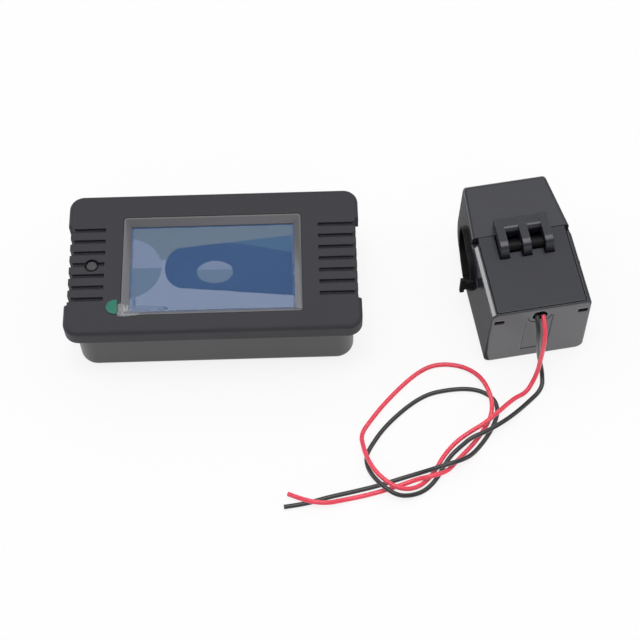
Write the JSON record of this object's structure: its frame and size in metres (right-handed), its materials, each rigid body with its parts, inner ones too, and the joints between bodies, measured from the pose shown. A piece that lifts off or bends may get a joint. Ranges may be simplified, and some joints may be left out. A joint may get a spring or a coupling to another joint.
{
  "type": "panel power meter with split-core current transformer",
  "caption": "Rectangular flush-mount AC power meter with a framed display, side grooves and a button, beside a hinged split-core current transformer with red and black leads.",
  "frame": {"origin": "centre of the meter's flat rear face", "axes": "+X along the display's width to the right, +Y towards the display's top edge, +Z out of the display"},
  "size_m": [0.1582, 0.1007, 0.0319],
  "materials": {
    "bezel_plastic": "fine matt moulding, dark grey",
    "case_plastic": "satin moulding, grey",
    "frame_plastic": "smooth glossy moulding, grey",
    "button_plastic": "smooth moulding, dark grey",
    "screen_blue": "glossy blue display",
    "clear_film": "clear, slightly wavy",
    "tab_green": "translucent green film",
    "white_plastic": "white moulding",
    "light_guide": "clear acrylic",
    "board_green": "green circuit board",
    "tinned_metal": "tinned",
    "capacitor_grey": "grey moulded case",
    "sleeve_black": "shrink sleeve",
    "resistor_blue": "lacquered",
    "chip_black": "moulded package",
    "terminal_black": "moulded terminal block",
    "terminal_steel": "zinc plated",
    "contact_brass": "tinned brass",
    "ct_plastic": "polished moulding, dark grey",
    "ct_black": "black nylon",
    "pin_steel": "blackened steel",
    "core_steel": "laminated core",
    "coil_copper": "enamelled copper winding",
    "lead_red": "soft insulation",
    "lead_black": "soft insulation"
  },
  "bodies": {
    "base": {"front_bezel": "bezel_plastic", "window_frame": "frame_plastic", "rear_case": "case_plastic", "main_board": "board_green", "tact_switch": "chip_black", "lcd_panel": "screen_blue", "lcd_holder": "white_plastic", "lcd_diffuser": "light_guide", "backlight_leds": "white_plastic", "lcd_pins": "tinned_metal", "screen_film": "clear_film", "film_pull_tab": "tab_green", "mains_capacitor": "capacitor_grey", "smoothing_capacitor": "sleeve_black", "filter_capacitor": "sleeve_black", "fuse_resistor": "resistor_blue", "varistor": "resistor_blue", "metering_chip": "chip_black", "controller_chip": "chip_black", "terminal_block": "terminal_black", "terminal_contacts": "contact_brass", "ct_base_shell": "ct_plastic", "ct_base_lid": "ct_plastic", "ct_wire_clamp": "ct_plastic", "ct_hinge_lugs": "ct_black", "ct_hinge_pin": "pin_steel", "ct_base_liner": "ct_black", "ct_core_base": "core_steel", "ct_bobbin": "white_plastic", "ct_winding": "coil_copper", "ct_lead_tails": "lead_black", "lead_red": "lead_red", "lead_black": "lead_black"},
    "button": {"button_cap": "button_plastic", "switch_plunger": "white_plastic"},
    "clip_left": {"panel_clip_left": "case_plastic"},
    "clip_right": {"panel_clip_right": "case_plastic"},
    "screw_1": {"terminal_screw_1": "terminal_steel"},
    "screw_2": {"terminal_screw_2": "terminal_steel"},
    "screw_3": {"terminal_screw_3": "terminal_steel"},
    "screw_4": {"terminal_screw_4": "terminal_steel"},
    "cage_1": {"terminal_cage_1": "terminal_steel"},
    "cage_2": {"terminal_cage_2": "terminal_steel"},
    "cage_3": {"terminal_cage_3": "terminal_steel"},
    "cage_4": {"terminal_cage_4": "terminal_steel"},
    "ct_cap": {"ct_cap_shell": "ct_plastic", "ct_cap_liner": "ct_black", "ct_core_cap": "core_steel"},
    "ct_latch": {"ct_latch_tongue": "ct_plastic"}
  },
  "joints": [
    {"name": "button_press", "type": "slide", "parent": "base", "child": "button", "axis": [0, 0, -1], "range_m": [0, 0.0004], "stiffness_N_per_m": 800, "springref_m": -0.0004},
    {"name": "panel_clip_left_flex", "type": "hinge", "parent": "base", "child": "clip_left", "pos_m": [-0.0415, 0, 0.00415], "axis": [0, 1, 0], "range_deg": [0, 6], "stiffness_Nm_per_rad": 0.05, "springref_deg": -1.15},
    {"name": "panel_clip_right_flex", "type": "hinge", "parent": "base", "child": "clip_right", "pos_m": [0.0415, 0, 0.00415], "axis": [0, -1, 0], "range_deg": [0, 6], "stiffness_Nm_per_rad": 0.05, "springref_deg": -1.15},
    {"name": "terminal_screw_1_turn", "type": "hinge", "parent": "base", "child": "screw_1", "pos_m": [-0.01125, 0.0075, 0.002], "axis": [0, 0, 1], "range_deg": [0, 1080]},
    {"name": "terminal_screw_2_turn", "type": "hinge", "parent": "base", "child": "screw_2", "pos_m": [-0.00375, 0.0075, 0.002], "axis": [0, 0, 1], "range_deg": [0, 1080]},
    {"name": "terminal_screw_3_turn", "type": "hinge", "parent": "base", "child": "screw_3", "pos_m": [0.00375, 0.0075, 0.002], "axis": [0, 0, 1], "range_deg": [0, 1080]},
    {"name": "terminal_screw_4_turn", "type": "hinge", "parent": "base", "child": "screw_4", "pos_m": [0.01125, 0.0075, 0.002], "axis": [0, 0, 1], "range_deg": [0, 1080]},
    {"name": "terminal_cage_1_rise", "type": "slide", "parent": "base", "child": "cage_1", "axis": [0, 0, -1], "range_m": [0, 0.00135]},
    {"name": "terminal_cage_2_rise", "type": "slide", "parent": "base", "child": "cage_2", "axis": [0, 0, -1], "range_m": [0, 0.00135]},
    {"name": "terminal_cage_3_rise", "type": "slide", "parent": "base", "child": "cage_3", "axis": [0, 0, -1], "range_m": [0, 0.00135]},
    {"name": "terminal_cage_4_rise", "type": "slide", "parent": "base", "child": "cage_4", "axis": [0, 0, -1], "range_m": [0, 0.00135]},
    {"name": "ct_cap_hinge", "type": "hinge", "parent": "base", "child": "ct_cap", "pos_m": [0.09465, 0.00008, 0.0283], "axis": [0.9895, 0.1444, 0], "range_deg": [0, 110]},
    {"name": "ct_latch_flex", "type": "hinge", "parent": "ct_cap", "child": "ct_latch", "pos_m": [0.09276, 0.013, 0.002], "axis": [0.9895, 0.1444, 0], "range_deg": [0, 5], "stiffness_Nm_per_rad": 0.05, "springref_deg": -1.15}
  ],
  "couplings": [
    {"joint": "terminal_screw_1_turn", "follows": "terminal_cage_1_rise", "rad_per_m": 13963},
    {"joint": "terminal_screw_2_turn", "follows": "terminal_cage_2_rise", "rad_per_m": 13963},
    {"joint": "terminal_screw_3_turn", "follows": "terminal_cage_3_rise", "rad_per_m": 13963},
    {"joint": "terminal_screw_4_turn", "follows": "terminal_cage_4_rise", "rad_per_m": 13963}
  ]
}
